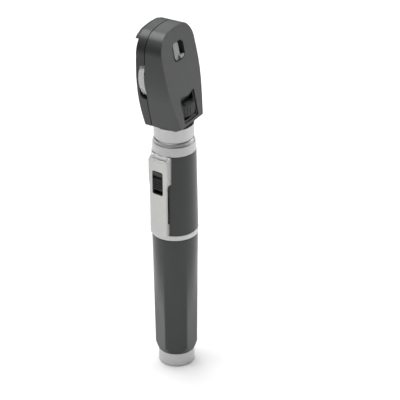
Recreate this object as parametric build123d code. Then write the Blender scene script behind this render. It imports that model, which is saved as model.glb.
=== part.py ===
from build123d import *
from math import atan, cos, degrees, pi, radians, sin, sqrt
import os

# Pocket ophthalmoscope. Millimetres, +Z up along the handle, origin at the middle of the end
# cap's base. The patient side of the head faces -Y, the examiner looks in from +Y.

# ---- driving sizes -------------------------------------------------------------------------
cell_radius = 7.15
cell_length = 50.5
cell_nub_radius = 2.7
cell_nub_height = 1.0

cap_radius = 8.85
cap_height = 7.0
cap_floor = 1.6
cap_edge = 0.5

cell_gap = 0.35
tube_wall = 0.5

grip_length = 65.3
grip_flat = 9.05
grip_bottom_radius = 10.1
grip_top_radius = 11.15
grip_end_round = 1.2

spring_height = 4.1
spring_wire = 0.4
spring_turns = 3

ring_radius = 11.35
ring_height = 2.8
sleeve_height = 42.0
sleeve_bottom_radius = 11.3
sleeve_top_radius = 10.75
chassis_wall = 1.1
spigot_length = 10.0
spigot_wall = 0.8

collar_height = 6.6
collar_top_radius = 10.3
collar_bevel = 2.0
plug_radius = 7.5
plug_length = 11.6
neck_radius = 9.75
neck_height = 6.9
neck_gap = 0.3
lamp_radius = 3.2
lamp_base_length = 10.0
lamp_glass_length = 6.6
pin_radius = 0.95
pin_travel = 0.6

clip_turn = -7.0
clip_face = 13.1
clip_thickness = 1.4
clip_half_width = 4.9
clip_edge_bevel = 0.8
clip_tail_gap = 0.4
clip_foot_height = 6.4
clip_flex_height = 19.9
block_half_width = 5.9
block_height = 14.2
block_bevel = 1.15
block_top_bevel = 2.6
slot_half_width = 3.1
slot_height = 12.4
slot_bottom = 1.75
slider_travel = 2.4
slider_rib_count = 5

head_height = 49.4
head_bottom_half = 9.4
head_widest_half = 15.35
head_shoulder_half = 14.7
head_brow_half = 9.75
head_bottom_round = 0.6
head_side_round = 64.0
head_shoulder_round = 10.4
head_brow_round = 8.5
head_face_y = -5.9
head_face_lean = 0.2011
seam_y = 6.6
rear_y = 11.1
rear_tuck = 1.2
shell_wall = 1.5
rear_wall = 1.15

wheel_radius = 15.3
wheel_thickness = 2.9
wheel_bore = 1.55
rim_to_lenses = 3.4
lens_radius = 1.7
lens_places = 16
wheel_ridge_count = 48

dial_radius = 6.9
dial_height = 5.7
dial_rim_wall = 0.65
dial_offset = 3.5
dial_bore = 1.05
dial_openings = 5
dial_rib_count = 28

beam_y = 1.75
barrel_radius = 3.0
barrel_bore = 2.4
prism_leg = 4.2
prism_half_width = 2.4

window_width = 9.8
window_height = 9.6
window_depth = 2.0
pane_thickness = 0.6
sight_radius = 1.9

# ---- fits ----------------------------------------------------------------------------------
slide_gap = 0.1
run_gap = 0.05
touch_gap = 0.05
free_gap = 0.4
seat_gap = 0.02

# ---- heights up the handle -----------------------------------------------------------------
grip_bottom = cap_height
grip_top = grip_bottom + grip_length
ring_bottom = grip_top + slide_gap
ring_top = ring_bottom + ring_height
sleeve_top = ring_top + sleeve_height
collar_top = sleeve_top + collar_height
neck_bottom = collar_top + neck_gap
neck_top = neck_bottom + neck_height
head_bottom = neck_top
head_top = head_bottom + head_height

lower_cell_bottom = cap_floor + spring_height
upper_cell_bottom = lower_cell_bottom + cell_length
stack_top = upper_cell_bottom + cell_length

tube_bore = cell_radius + cell_gap
tube_radius = tube_bore + tube_wall
chassis_bore = tube_radius + slide_gap
chassis_radius = chassis_bore + chassis_wall
spigot_radius = chassis_bore + spigot_wall
plug_bore = plug_radius + slide_gap
plug_bottom = collar_top - plug_length


# ---- small helpers -------------------------------------------------------------------------
def rod(radius, bottom, top, x=0.0, y=0.0):
    return Pos(x, y, bottom) * Cylinder(radius, top - bottom, align=(Align.CENTER, Align.CENTER, Align.MIN))


def tube(outer, inner, bottom, top):
    return rod(outer, bottom, top) - rod(inner, bottom, top)


def cone(bottom_radius, top_radius, bottom, top):
    return Pos(0, 0, bottom) * Cone(
        bottom_radius, top_radius, top - bottom, align=(Align.CENTER, Align.CENTER, Align.MIN)
    )


def block(x0, x1, y0, y1, z0, z1):
    return Pos((x0 + x1) / 2, (y0 + y1) / 2, (z0 + z1) / 2) * Box(x1 - x0, y1 - y0, z1 - z0)


def rod_y(radius, y0, y1, x=0.0, z=0.0):
    return Pos(x, (y0 + y1) / 2, z) * Rot(90, 0, 0) * Cylinder(radius, y1 - y0)


def coil(radius, wire, turns, bottom, height):
    rise = height - 2 * wire
    path = Pos(0, 0, bottom + wire) * Helix(rise / turns, rise, radius)
    section = Plane(path @ 0, z_dir=path % 0) * Circle(wire)
    return sweep(section, path=path)


def side_prism(points, half_width):
    # a closed outline in Y and Z, as thick as twice half_width along X
    face = make_face(Plane.YZ * Polyline(*points, close=True))
    return extrude(face, amount=half_width, both=True)


def face_y(z):
    # where the sloping front of the head is at height z
    return head_face_y + head_face_lean * (z - head_face_middle)


def save(name, shape):
    solids = shape.solids()
    result = solids[0] if len(solids) == 1 else Compound(children=list(solids))
    result.label = name
    export_step(result, f"parts/{name}.step")


def turned(shape):
    # the clip and its switch stop this far round from the side of the head
    return Rot(0, 0, clip_turn) * shape


os.makedirs("parts", exist_ok=True)

# ---- lower handle --------------------------------------------------------------------------
end_cap = rod(cap_radius, 0, cap_height) - rod(tube_radius, cap_floor, cap_height)
end_cap = fillet(end_cap.edges().filter_by(GeomType.CIRCLE).group_by(Axis.Z)[0], cap_edge)
save("end_cap", end_cap)

spigot_bottom = ring_bottom - spigot_length
tube_top = ring_bottom - 1.0
save("battery_tube", tube(tube_radius, tube_bore, cap_floor, tube_top))


# a round tapering grip with six flats that run out into the round part
facet_outer = grip_top_radius + 4
facet_curve_start = grip_bottom + 0.3 * grip_length
facet_curve_end = grip_bottom + 0.9 * grip_length
facet_low = (-grip_flat, grip_bottom - 1)
facet_start = (-grip_flat, facet_curve_start)
facet_end = (-grip_top_radius, facet_curve_end)
facet_outline = [
    Line(facet_low, facet_start),
    TangentArc(facet_start, facet_end, tangent=(0, 1)),
    Polyline(facet_end, (-facet_outer, facet_curve_end), (-facet_outer, grip_bottom - 1), facet_low),
]
facet = extrude(make_face(Plane.YZ * Curve(children=facet_outline)), amount=facet_outer, both=True)
grip = cone(grip_bottom_radius, grip_top_radius, grip_bottom, grip_top)
grip = fillet(grip.edges().filter_by(GeomType.CIRCLE).group_by(Axis.Z)[0], grip_end_round)
for side in range(6):
    grip -= Rot(0, 0, 60 * side) * facet
grip -= rod(tube_radius, grip_bottom, spigot_bottom)
grip -= rod(spigot_radius + slide_gap, spigot_bottom - slide_gap, grip_top)
save("grip", grip)

save("battery_spring", coil(cell_radius - 2.8, spring_wire, spring_turns, cap_floor, spring_height))


def cell(bottom):
    can_top = bottom + cell_length - cell_nub_height
    can = rod(cell_radius, bottom, can_top)
    can = fillet(can.edges().filter_by(GeomType.CIRCLE), 0.5)
    return can + rod(cell_nub_radius, can_top, bottom + cell_length)


save("lower_cell", cell(lower_cell_bottom))
save("upper_cell", cell(upper_cell_bottom))

# ---- upper handle --------------------------------------------------------------------------
contact_bottom = stack_top + touch_gap
contact_top = contact_bottom + 0.4
insulator_top = plug_bottom - 0.6

chassis = rod(chassis_radius, ring_bottom, sleeve_top) - rod(chassis_bore, ring_bottom, insulator_top)
chassis -= rod(plug_bore, insulator_top, sleeve_top)
chassis += tube(spigot_radius, chassis_bore, spigot_bottom, ring_bottom)
save("chassis_tube", chassis)

ring = tube(ring_radius, chassis_radius, ring_bottom, ring_top)
ring = fillet(ring.edges().filter_by(GeomType.CIRCLE).group_by(SortBy.RADIUS)[-1], 0.3)
save("trim_ring", ring)

# the clip is drawn on the -X side and turned into place
block_bottom = sleeve_top - block_height
clip_bottom = ring_top + clip_tail_gap
arm_top = clip_bottom + clip_flex_height - touch_gap
base_bottom = clip_bottom + clip_flex_height + touch_gap
slot_low = base_bottom + slot_bottom
slot_high = slot_low + slot_height
plate_back = clip_face - clip_thickness
housing_half = block_half_width - 1.5
housing_low = base_bottom + 0.5
housing_high = slot_high + 1.8

sleeve = cone(sleeve_bottom_radius, sleeve_top_radius, ring_top, sleeve_top)
sleeve -= rod(chassis_radius, ring_top, sleeve_top)
sleeve -= turned(
    block(-clip_face, 0, -block_half_width - seat_gap, block_half_width + seat_gap, block_bottom - seat_gap, sleeve_top)
)
sleeve -= turned(block(-clip_face, 0, -housing_half - seat_gap, housing_half + seat_gap, housing_low, sleeve_top))
save("upper_sleeve", sleeve)


def bevelled_bar(half_width, bevel, bottom, top, back, front=clip_face):
    # a bar with its two long outer edges taken off
    outline = Polyline(
        (-back, -half_width),
        (-front + bevel, -half_width),
        (-front, -half_width + bevel),
        (-front, half_width - bevel),
        (-front + bevel, half_width),
        (-back, half_width),
        close=True,
    )
    return extrude(Pos(0, 0, bottom) * make_face(outline), amount=top - bottom)


hook_half_width = 3.0
hook_height = 1.4
hook_back = chassis_radius + 0.1
hook_front = hook_back + 0.7
taper_height = 2.4
clip_base = bevelled_bar(block_half_width, block_bevel, block_bottom, sleeve_top, 4.0)
clip_base += bevelled_bar(clip_half_width, clip_edge_bevel, base_bottom, block_bottom + 1, plate_back)
top_corner = side_prism([(0, 0), (block_top_bevel, 0), (0, -block_top_bevel)], block_half_width + 1)
clip_base -= Pos(-clip_face, 0, sleeve_top) * Rot(0, 0, -90) * top_corner
flank = side_prism([(0, 0), (0, taper_height), (block_half_width - clip_half_width, 0)], clip_face)
for side, wedge in ((1, flank), (-1, mirror(flank, Plane.XZ))):
    clip_base -= Pos(-clip_face / 2, side * clip_half_width, block_bottom) * wedge
clip_base += block(-hook_front, -hook_back, -hook_half_width, hook_half_width, sleeve_top, sleeve_top + hook_height)
clip_base -= rod(chassis_radius + seat_gap, base_bottom - 1, sleeve_top)
clip_base -= block(-plate_back, 0, -housing_half - seat_gap, housing_half + seat_gap, base_bottom, housing_high + seat_gap)
slot_cut = block(-clip_face - 1, 0, -slot_half_width, slot_half_width, slot_low, slot_high)
slot_cut = fillet(slot_cut.edges().filter_by(Axis.X), 0.9)
clip_base -= slot_cut
save("clip_base", turned(clip_base))

clip_arm = bevelled_bar(clip_half_width, clip_edge_bevel, clip_bottom, arm_top, plate_back)
foot = block(-clip_face + 1.0, -6, -clip_half_width, clip_half_width, clip_bottom, clip_bottom + clip_foot_height)
foot = chamfer(foot.edges().filter_by(Axis.Y).group_by(Axis.Z)[-1].sort_by(Axis.X)[-1], 1.2)
clip_arm += foot
clip_arm -= rod(sleeve_bottom_radius + 3 * touch_gap, clip_bottom - 1, arm_top)
save("clip_arm", turned(clip_arm))

floor_x = chassis_radius + 0.8
switch_base = block(-plate_back + seat_gap, 0, -housing_half, housing_half, housing_low, housing_high)
switch_base -= rod(chassis_radius + seat_gap, base_bottom - 1, sleeve_top)
flange_half = housing_half - 0.85
cavity_low = housing_low + 0.8
cavity_high = housing_high - 0.8
switch_base -= block(-plate_back - 1, -floor_x, -flange_half - slide_gap, flange_half + slide_gap, cavity_low, cavity_high)
save("switch_base", turned(switch_base))

slider_high = slot_high - slide_gap
slider_low = slot_low + slider_travel + slide_gap
slider_face = clip_face + 0.1
flange_front = plate_back - slide_gap
flange_back = flange_front - 0.6
flange_low = cavity_low + slider_travel + slide_gap
slider_half = slot_half_width - slide_gap
slider = block(-slider_face, -flange_back, -slider_half, slider_half, slider_low, slider_high)
slider = fillet(slider.edges().filter_by(Axis.X), 0.8)
slider += block(-flange_front, -flange_back, -flange_half, flange_half, flange_low, cavity_high - slide_gap)
lip_height = 2.0
groove_height = 1.3
groove_depth = 1.0
groove_high = slider_high - lip_height
slider -= block(
    -slider_face - 1, -slider_face + groove_depth, -slider_half, slider_half, groove_high - groove_height, groove_high
)
rib_pitch = (groove_high - groove_height - slider_low) / slider_rib_count
for rib in range(slider_rib_count):
    valley = slider_low + (rib + 0.5) * rib_pitch
    slider -= block(
        -slider_face - 1, -slider_face + 0.45, -slider_half, slider_half, valley - rib_pitch * 0.22, valley + rib_pitch * 0.22
    )
save("switch_slider", turned(slider))

strip_thickness = 0.3
leaf_half_width = 1.4
contact_leaf = block(
    -flange_back, -floor_x - strip_thickness - touch_gap, -leaf_half_width, leaf_half_width, flange_low + 1, flange_low + 6
)
save("switch_contact", turned(contact_leaf))
strip_split = (cavity_low + cavity_high) / 2
lower_strip = block(-floor_x - strip_thickness, -floor_x, -leaf_half_width, leaf_half_width, cavity_low, strip_split - 1)
upper_strip = block(-floor_x - strip_thickness, -floor_x, -leaf_half_width, leaf_half_width, strip_split + 1, cavity_high)
save("switch_strips", turned(lower_strip + upper_strip))

collar_profile = [
    (plug_bore, sleeve_top),
    (sleeve_top_radius, sleeve_top),
    (collar_top_radius, collar_top - collar_bevel),
    (collar_top_radius - 0.15, collar_top - collar_bevel + 0.5),
    (collar_top_radius - 0.35, collar_top - collar_bevel + 0.5),
    (neck_radius - 0.1, collar_top),
    (plug_bore, collar_top),
]
collar = revolve(Plane.XZ * make_face(Polyline(*collar_profile, close=True)), axis=Axis.Z)
collar -= turned(
    block(
        -hook_front - seat_gap,
        -hook_back + seat_gap,
        -hook_half_width - seat_gap,
        hook_half_width + seat_gap,
        sleeve_top,
        sleeve_top + hook_height + seat_gap,
    )
)
save("collar", collar)

pin_flange = 1.45
pin_flange_height = 0.6
spring_pocket = pin_flange + slide_gap
pocket_top = contact_top + 3.0
pin_top = insulator_top + 1.5
save("cell_contact", rod(chassis_bore - 1.5, contact_bottom, contact_top))
insulator = rod(chassis_bore, contact_top, insulator_top)
insulator -= rod(spring_pocket, contact_top, pocket_top)
insulator -= rod(pin_radius + run_gap, contact_top, insulator_top)
save("contact_insulator", insulator)
flange_top = pocket_top - touch_gap
contact_pin = rod(pin_radius, flange_top - pin_flange_height, pin_top)
contact_pin += rod(pin_flange, flange_top - pin_flange_height, flange_top)
contact_pin = fillet(contact_pin.edges().filter_by(GeomType.CIRCLE).group_by(Axis.Z)[-1], 0.4)
save("contact_pin", contact_pin)
save("contact_spring", coil(0.95, 0.18, 4, contact_top, flange_top - pin_flange_height - contact_top))

# ---- head: neck and lamp -------------------------------------------------------------------
neck_spigot_radius = 6.1
neck_spigot_top = neck_top + 3.0
lamp_bottom = pin_top + touch_gap
lamp_base_top = lamp_bottom + lamp_base_length
lamp_top = lamp_base_top + lamp_glass_length
condenser_radius = 3.6
condenser_bottom = neck_top + 1.1
neck = rod(neck_radius, neck_bottom, neck_top) + rod(plug_radius, plug_bottom, neck_bottom)
neck = fillet(neck.edges().filter_by(GeomType.CIRCLE).group_by(SortBy.RADIUS)[-1].sort_by(Axis.Z)[0], 0.3)
neck += rod(neck_spigot_radius, neck_top, neck_spigot_top)
neck -= rod(lamp_radius, plug_bottom, condenser_bottom)
neck -= rod(condenser_radius, condenser_bottom, neck_spigot_top)
groove_middle = plug_bottom + 4.0
wire_radius = 0.35
neck -= tube(plug_radius, plug_radius - 2 * wire_radius, groove_middle - wire_radius, groove_middle + wire_radius)
save("neck", neck)

wire_path_radius = plug_radius - wire_radius - 0.02
wire_ring = Pos(0, 0, groove_middle) * Torus(wire_path_radius, wire_radius - 0.02)
wire_ring -= block(0, plug_radius + 1, -1.5, 1.5, groove_middle - 1, groove_middle + 1)
save("coupling_spring", wire_ring)

lamp_base = rod(lamp_radius - seat_gap, lamp_bottom, lamp_base_top)
lamp_base = chamfer(lamp_base.edges().filter_by(GeomType.CIRCLE).group_by(Axis.Z)[0], 0.5)
save("lamp_base", lamp_base)
glass_radius = lamp_radius - 0.7
lamp_bulb = rod(glass_radius, lamp_base_top, lamp_top - glass_radius)
lamp_bulb += Pos(0, 0, lamp_top - glass_radius) * Sphere(glass_radius)
save("lamp_bulb", lamp_bulb)


def plano_convex(radius, edge, crown, bottom, y=0.0):
    ball = (radius**2 + crown**2) / (2 * crown)
    lens = rod(radius, bottom, bottom + edge + crown, y=y)
    return lens & (Pos(0, y, bottom + edge + crown - ball) * Sphere(ball))


save("condenser_lens", plano_convex(condenser_radius, 0.6, 1.0, condenser_bottom))

# ---- head: shells --------------------------------------------------------------------------
head_face_middle = head_bottom + 24.0
widest_z = head_bottom + 23.6
shoulder_z = head_bottom + 42.2
brow_z = head_bottom + 48.5
tuck_z = head_bottom + 14.8


def head_outline(inset=0.0):
    half = [
        (head_bottom_half, head_bottom),
        (head_widest_half, widest_z),
        (head_shoulder_half, shoulder_z),
        (head_brow_half, brow_z),
        (0, head_top),
    ]
    points = half + [(-x, z) for x, z in reversed(half[:-1])]
    face = make_face(Polyline(*points, close=True))
    rounds = [
        (head_bottom, head_bottom_round),
        (widest_z, head_side_round),
        (shoulder_z, head_shoulder_round),
        (brow_z, head_brow_round),
    ]
    for height, radius in rounds:
        corners = [v for v in face.vertices() if abs(v.Y - height) < 0.01 and abs(v.X) > 1]
        face = fillet(corners, radius)
    if inset:
        face = offset(face, amount=-inset)
    return Plane.XZ * face


def slab(outline, y0, y1):
    # Plane.XZ faces -Y, so a positive amount runs towards the patient
    return extrude(Pos(0, y1, 0) * outline, amount=y1 - y0)


front_reach = face_y(head_bottom) - 4
ahead_of_face = side_prism(
    [(face_y(head_bottom - 5), head_bottom - 5), (face_y(head_top + 5), head_top + 5), (-40, head_top + 5), (-40, head_bottom - 5)],
    30,
)
chin_bevel = side_prism(
    [
        (face_y(head_bottom + 2.4), head_bottom + 2.4),
        (face_y(head_bottom) + 4.4, head_bottom),
        (face_y(head_bottom) + 4.4, head_bottom - 5),
        (-30, head_bottom - 5),
        (-30, head_bottom + 2.4),
    ],
    30,
)
front_shell = slab(head_outline(), front_reach, seam_y) - ahead_of_face - chin_bevel
front_edges = [
    e for e in front_shell.edges() if abs(e.center().Y - face_y(e.center().Z)) < 0.05 and abs(e @ 0 - e @ 1) > 0.01
]
front_shell = fillet(front_edges, 0.7)
inside = slab(head_outline(shell_wall), front_reach, seam_y)
inside -= Pos(0, shell_wall, 0) * ahead_of_face
inside -= Pos(0, shell_wall, 0) * chin_bevel
front_shell -= inside
front_shell -= rod(neck_spigot_radius, head_bottom - 1, head_bottom + shell_wall + 0.5)

# window well, square to the sloping face
window_z = head_bottom + 37.3
face_angle = degrees(atan(head_face_lean))
window_plane = Plane(origin=(0, face_y(window_z), window_z), x_dir=(1, 0, 0), z_dir=(0, -1, head_face_lean))


def window_shape(margin, corner):
    return window_plane * fillet(Rectangle(window_width + 2 * margin, window_height + 2 * margin).vertices(), corner)


pane_back = window_depth + pane_thickness
well = extrude(window_shape(1.4, 3.6), amount=-(pane_back + 0.8))
well -= Pos(0, -0.2, 0) * ahead_of_face
front_shell += well
front_shell -= extrude(window_shape(0, 3.2), amount=-(pane_back + 3), both=True)
rebate = fillet(Rectangle(window_width + 0.9, window_height + 0.9).vertices(), 3.4)
front_shell -= extrude(window_plane.offset(-window_depth) * rebate, amount=-4)

# opening for the dial, wider at the face than inside
dial_low = head_bottom + 6.2
dial_high = dial_low + dial_height
dial_y = -dial_offset
opening_half = 6.2
mouth_high = head_bottom + 16.7
mouth_low = head_bottom + 3.7
throat_high = dial_high + 1.0
throat_low = dial_low - 0.8
opening = side_prism(
    [
        (face_y(mouth_high), mouth_high),
        (face_y(throat_high) + shell_wall + 0.3, throat_high),
        (0, throat_high),
        (0, throat_low),
        (face_y(throat_low) + shell_wall + 0.3, throat_low),
        (face_y(mouth_low), mouth_low),
        (face_y(mouth_low) - 3, mouth_low),
        (face_y(mouth_high) - 3, mouth_high),
    ],
    opening_half,
)
hood_top = mouth_high + 2.0
hood_foot = dial_high + 1.0
hood = side_prism(
    [
        (face_y(hood_top) + 0.8, hood_top),
        (face_y(hood_top) + 2.4, hood_top),
        (face_y(hood_foot) + 4.6, hood_foot + 1.2),
        (face_y(hood_foot) + 4.6, hood_foot),
        (face_y(hood_foot) + 0.8, hood_foot),
    ],
    opening_half + 0.4,
)
front_shell += hood
front_shell -= opening

# shelf that carries the dial
shelf_bottom = neck_spigot_top + 0.2
shelf_top = shelf_bottom + 1.2
shelf = slab(head_outline(shell_wall - 0.1), front_reach, dial_y + 1.6)
shelf = shelf & block(-20, 20, -20, dial_y + 1.6, shelf_bottom, shelf_top)
shelf -= Pos(0, 0.8, 0) * ahead_of_face
front_shell += shelf
front_shell -= rod(1.0, shelf_bottom, shelf_top, y=dial_y)

# rib that holds the optics barrel, and bosses for the screws
barrel_bottom = dial_high + 1.3
prism_bottom = window_z - 3.5
barrel_top = prism_bottom - 0.8
rib = block(-0.8, 0.8, -12, beam_y - barrel_radius + 0.2, mouth_high + 1.5, prism_bottom - 5)
rib -= Pos(0, 0.8, 0) * ahead_of_face
rib -= rod(barrel_radius, barrel_bottom, barrel_top, y=beam_y)
front_shell += rib
front_shell -= rod(barrel_radius, barrel_bottom, barrel_top, y=beam_y)

low_screw_x = 7.0
low_screw_z = head_bottom + 3.6
top_screw_down = 3.2
top_screw_z = head_top - top_screw_down
boss_radius = 2.2
screw_radius = 0.9
screw_places = [(-low_screw_x, low_screw_z), (low_screw_x, low_screw_z), (0, top_screw_z)]
for x, z in screw_places:
    boss = rod_y(boss_radius, seam_y - 3.5, seam_y, x, z) & slab(head_outline(shell_wall / 2), front_reach, seam_y)
    front_shell += boss
    front_shell -= rod_y(screw_radius, seam_y - 3.0, seam_y, x, z)
front_shell -= rod(neck_spigot_radius + seat_gap, head_bottom + shell_wall, neck_spigot_top + seat_gap)
save("front_shell", front_shell)

wheel_z = head_bottom + 27.1
lens_circle = wheel_radius - rim_to_lenses
sight_z = wheel_z + lens_circle
axle_radius = wheel_bore - run_gap
wheel_front = seam_y + 0.2
wheel_back = wheel_front + wheel_thickness
cavity_back = rear_y - rear_wall
axle_tail = 1.2


def tuck(depth):
    # what the curve at the foot of the rear shell takes away, moved in by a wall's depth
    start = (rear_y - depth, tuck_z)
    end = (rear_y - rear_tuck - depth, head_bottom)
    outline = [
        TangentArc(start, end, tangent=(0, -1)),
        Polyline(end, (end[0], head_bottom - 5), (rear_y + 5, head_bottom - 5), (rear_y + 5, tuck_z), start),
    ]
    return extrude(make_face(Plane.YZ * Curve(children=outline)), amount=20, both=True)


rear_shell = slab(head_outline(), seam_y, rear_y) - tuck(0)
rear_edges = [
    e for e in rear_shell.edges() if e.center().Y > rear_y - rear_tuck - 0.05 and e.bounding_box().min.Y > seam_y + 1
]
rear_edges = [e for e in rear_edges if e.bounding_box().size.X < 1 or abs(e.center().Z - tuck_z) > 0.5]
rear_shell = fillet(rear_edges, 0.8)
rear_shell -= slab(head_outline(shell_wall), seam_y, cavity_back) - tuck(rear_wall)
rear_shell -= rod_y(wheel_radius + free_gap, seam_y, cavity_back, 0, wheel_z)
wheel_slot_low = head_bottom + 15.6
wheel_slot_high = head_bottom + 33.6
slot_block = block(-20, 20, seam_y, cavity_back, wheel_slot_low, wheel_slot_high)
slot_block = fillet(slot_block.edges().filter_by(Axis.X).group_by(Axis.Y)[-1], 2.4)
rear_shell -= slot_block
for x, z in screw_places:
    boss = rod_y(boss_radius, seam_y, cavity_back + 0.1, x, z) & slab(head_outline(shell_wall / 2), seam_y, rear_y)
    boss -= tuck(rear_wall / 2)
    rear_shell += boss
    rear_shell -= rod_y(screw_radius + 0.1, seam_y, rear_y, x, z)
    rear_shell -= rod_y(1.8, rear_y - 0.9, rear_y, x, z)
rear_shell -= rod_y(sight_radius, seam_y, rear_y, 0, sight_z)
rear_pane_radius = 2.6
rear_pane_front = rear_y - 0.7
rear_shell -= rod_y(rear_pane_radius, rear_pane_front, rear_y, 0, sight_z)
rear_shell -= rod_y(axle_tail, seam_y, rear_y, 0, wheel_z)
scale_radius = 7.8
scale_z = wheel_z - scale_radius
scale_pane_front = rear_y - 0.5
rear_shell -= block(-1.5, 1.5, seam_y, rear_y, scale_z - 1.1, scale_z + 1.1)
rear_shell -= block(-1.9, 1.9, scale_pane_front, rear_y, scale_z - 1.5, scale_z + 1.5)
detent_z = wheel_z - wheel_radius
post_half = 6.8
for side in (1, -1):
    x0, x1 = sorted((side * (post_half - 1.2), side * (post_half + 0.8)))
    rear_shell += block(x0, x1, seam_y + 0.3, cavity_back, detent_z - 3.6, detent_z - 0.55)
save("rear_shell", rear_shell)

screws = None
for x, z in screw_places:
    screw = rod_y(screw_radius, seam_y - 2.6, rear_y - 0.9, x, z)
    screw += rod_y(1.7, rear_y - 0.9, rear_y - 0.1, x, z)
    screw -= block(x - 1.2, x + 1.2, rear_y - 0.5, rear_y, z - 0.2, z + 0.2)
    screw -= block(x - 0.2, x + 0.2, rear_y - 0.5, rear_y, z - 1.2, z + 1.2)
    screws = screw if screws is None else screws + screw
save("shell_screws", screws)

# ---- head: windows and brow rest -----------------------------------------------------------
pane = extrude(
    window_plane.offset(-window_depth) * fillet(
        Rectangle(window_width + 0.9 - 2 * seat_gap, window_height + 0.9 - 2 * seat_gap).vertices(), 3.4
    ),
    amount=-pane_thickness,
)
save("front_window", pane)
save("rear_window", rod_y(rear_pane_radius - seat_gap, rear_pane_front, rear_y - 0.1, 0, sight_z))
save(
    "dioptre_window",
    block(-1.9 + seat_gap, 1.9 - seat_gap, scale_pane_front, rear_y - 0.1, scale_z - 1.5 + seat_gap, scale_z + 1.5 - seat_gap),
)

rest_thickness = 1.6
rest_half_width = 9.0
rest_low = sight_z - 9.0
brow_line = top_screw_z - 1.5
rest_face = head_outline(0.5)
brow_rest = slab(rest_face, rear_y, rear_y + rest_thickness)
narrow = block(-rest_half_width, rest_half_width, rear_y, rear_y + rest_thickness, rest_low, head_top)
narrow = fillet(narrow.edges().filter_by(Axis.Y).group_by(Axis.Z)[0], 6.0)
brow_rest = brow_rest & (narrow + block(-20, 20, rear_y, rear_y + rest_thickness, brow_line, head_top))
brow_rest -= rod_y(4.6, rear_y - 1, rear_y + rest_thickness + 1, 0, sight_z)
save("brow_rest", brow_rest)

# ---- head: optics --------------------------------------------------------------------------
barrel = rod(barrel_radius, barrel_bottom, barrel_top, y=beam_y) - rod(barrel_bore, barrel_bottom, barrel_top, y=beam_y)
save("optics_barrel", barrel)
save("objective_lens", plano_convex(barrel_bore, 0.8, 0.6, barrel_top - 5, beam_y))
prism_front = beam_y - prism_leg / 2
prism_back = beam_y + prism_leg / 2
prism = side_prism(
    [(prism_front, prism_bottom), (prism_back, prism_bottom), (prism_front, prism_bottom + prism_leg)], prism_half_width
)
save("prism", prism)
cheek = 0.9
holder = block(
    -prism_half_width - cheek, prism_half_width + cheek, prism_front, prism_back + 1, barrel_top, prism_bottom + prism_leg - 0.6
)
holder -= block(-prism_half_width, prism_half_width, prism_front - 1, prism_back + 2, prism_bottom, head_top)
holder -= rod(barrel_bore, barrel_top, prism_bottom, y=beam_y)
save("prism_holder", holder)

# ---- head: lens wheel ----------------------------------------------------------------------
wheel = rod_y(wheel_radius, wheel_front, wheel_back, 0, wheel_z)
web_inset = 0.7
rim_width = 1.4
rim_inner = wheel_radius - rim_width
for y0, y1 in ((wheel_front, wheel_front + web_inset), (wheel_back - web_inset, wheel_back)):
    wheel -= rod_y(rim_inner, y0, y1, 0, wheel_z) - rod_y(3.2, y0, y1, 0, wheel_z)
wheel -= rod_y(wheel_bore, wheel_front, wheel_back, 0, wheel_z)
for place in range(wheel_ridge_count):
    angle = 2 * pi * (place + 0.5) / wheel_ridge_count
    wheel -= rod_y(
        0.3, wheel_front, wheel_back, (wheel_radius + 0.12) * cos(angle), wheel_z + (wheel_radius + 0.12) * sin(angle)
    )
lenses = None
for place in range(lens_places):
    angle = pi / 2 + 2 * pi * place / lens_places
    x = lens_circle * cos(angle)
    z = wheel_z + lens_circle * sin(angle)
    wheel -= rod_y(lens_radius, wheel_front, wheel_back, x, z)
    if place:
        lens = rod_y(lens_radius - seat_gap, wheel_front + web_inset + 0.2, wheel_back - web_inset - 0.2, x, z)
        lenses = lens if lenses is None else lenses + lens
save("lens_wheel", wheel)
save("dioptre_lenses", lenses)
scale_front = wheel_back - web_inset
scale = rod_y(scale_radius + 1.5, scale_front, scale_front + 0.15, 0, wheel_z)
scale -= rod_y(scale_radius - 1.7, scale_front, scale_front + 0.15, 0, wheel_z)
save("dioptre_scale", scale)

axle = rod_y(axle_radius, wheel_front - 0.1, wheel_back + 0.15, 0, wheel_z)
axle += rod_y(axle_tail, wheel_back + 0.15, rear_y - 0.3, 0, wheel_z)
axle += rod_y(2.8, wheel_front - 0.9, wheel_front - 0.1, 0, wheel_z)
save("wheel_axle", axle)

leaf = block(-post_half, post_half, wheel_front + 0.6, wheel_back - 0.6, detent_z - 0.55, detent_z - 0.3)
bump = Pos(0, (wheel_front + wheel_back) / 2, detent_z - 0.55) * Rot(90, 0, 0) * Cylinder(0.5, wheel_thickness - 1.2)
bump = bump & block(-1, 1, seam_y, rear_y, detent_z - 0.55, detent_z)
save("wheel_detent", leaf + bump)

# ---- head: aperture dial -------------------------------------------------------------------
aperture_circle = dial_offset + beam_y
dial_floor = 0.8
dial = rod(dial_radius, dial_low, dial_high, y=dial_y)
dial -= rod(dial_radius - dial_rim_wall, dial_low, dial_high - dial_floor, y=dial_y)
dial += rod(2.2, dial_low, dial_high, y=dial_y)
dial -= rod(dial_bore, dial_low, dial_high, y=dial_y)
for place in range(dial_rib_count):
    angle = 2 * pi * place / dial_rib_count
    dial -= rod(0.32, dial_low, dial_high, (dial_radius + 0.1) * sin(angle), dial_y + (dial_radius + 0.1) * cos(angle))
disc_top = dial_high - dial_floor
aperture_disc = rod(dial_radius - dial_rim_wall, disc_top - 0.2, disc_top, y=dial_y)
aperture_disc -= rod(2.2, dial_low, dial_high, y=dial_y)
aperture_sizes = [0.8, 0.6, 0.4, 0.25, 0.8]
opening_radius = 0.9
for place in range(dial_openings):
    angle = 2 * pi * place / dial_openings
    x = aperture_circle * sin(angle)
    y = dial_y + aperture_circle * cos(angle)
    dial -= rod(opening_radius, disc_top, dial_high, x, y)
    aperture_disc -= rod(aperture_sizes[place], dial_low, dial_high, x, y)
save("aperture_dial", dial)
save("aperture_disc", aperture_disc)
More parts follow.
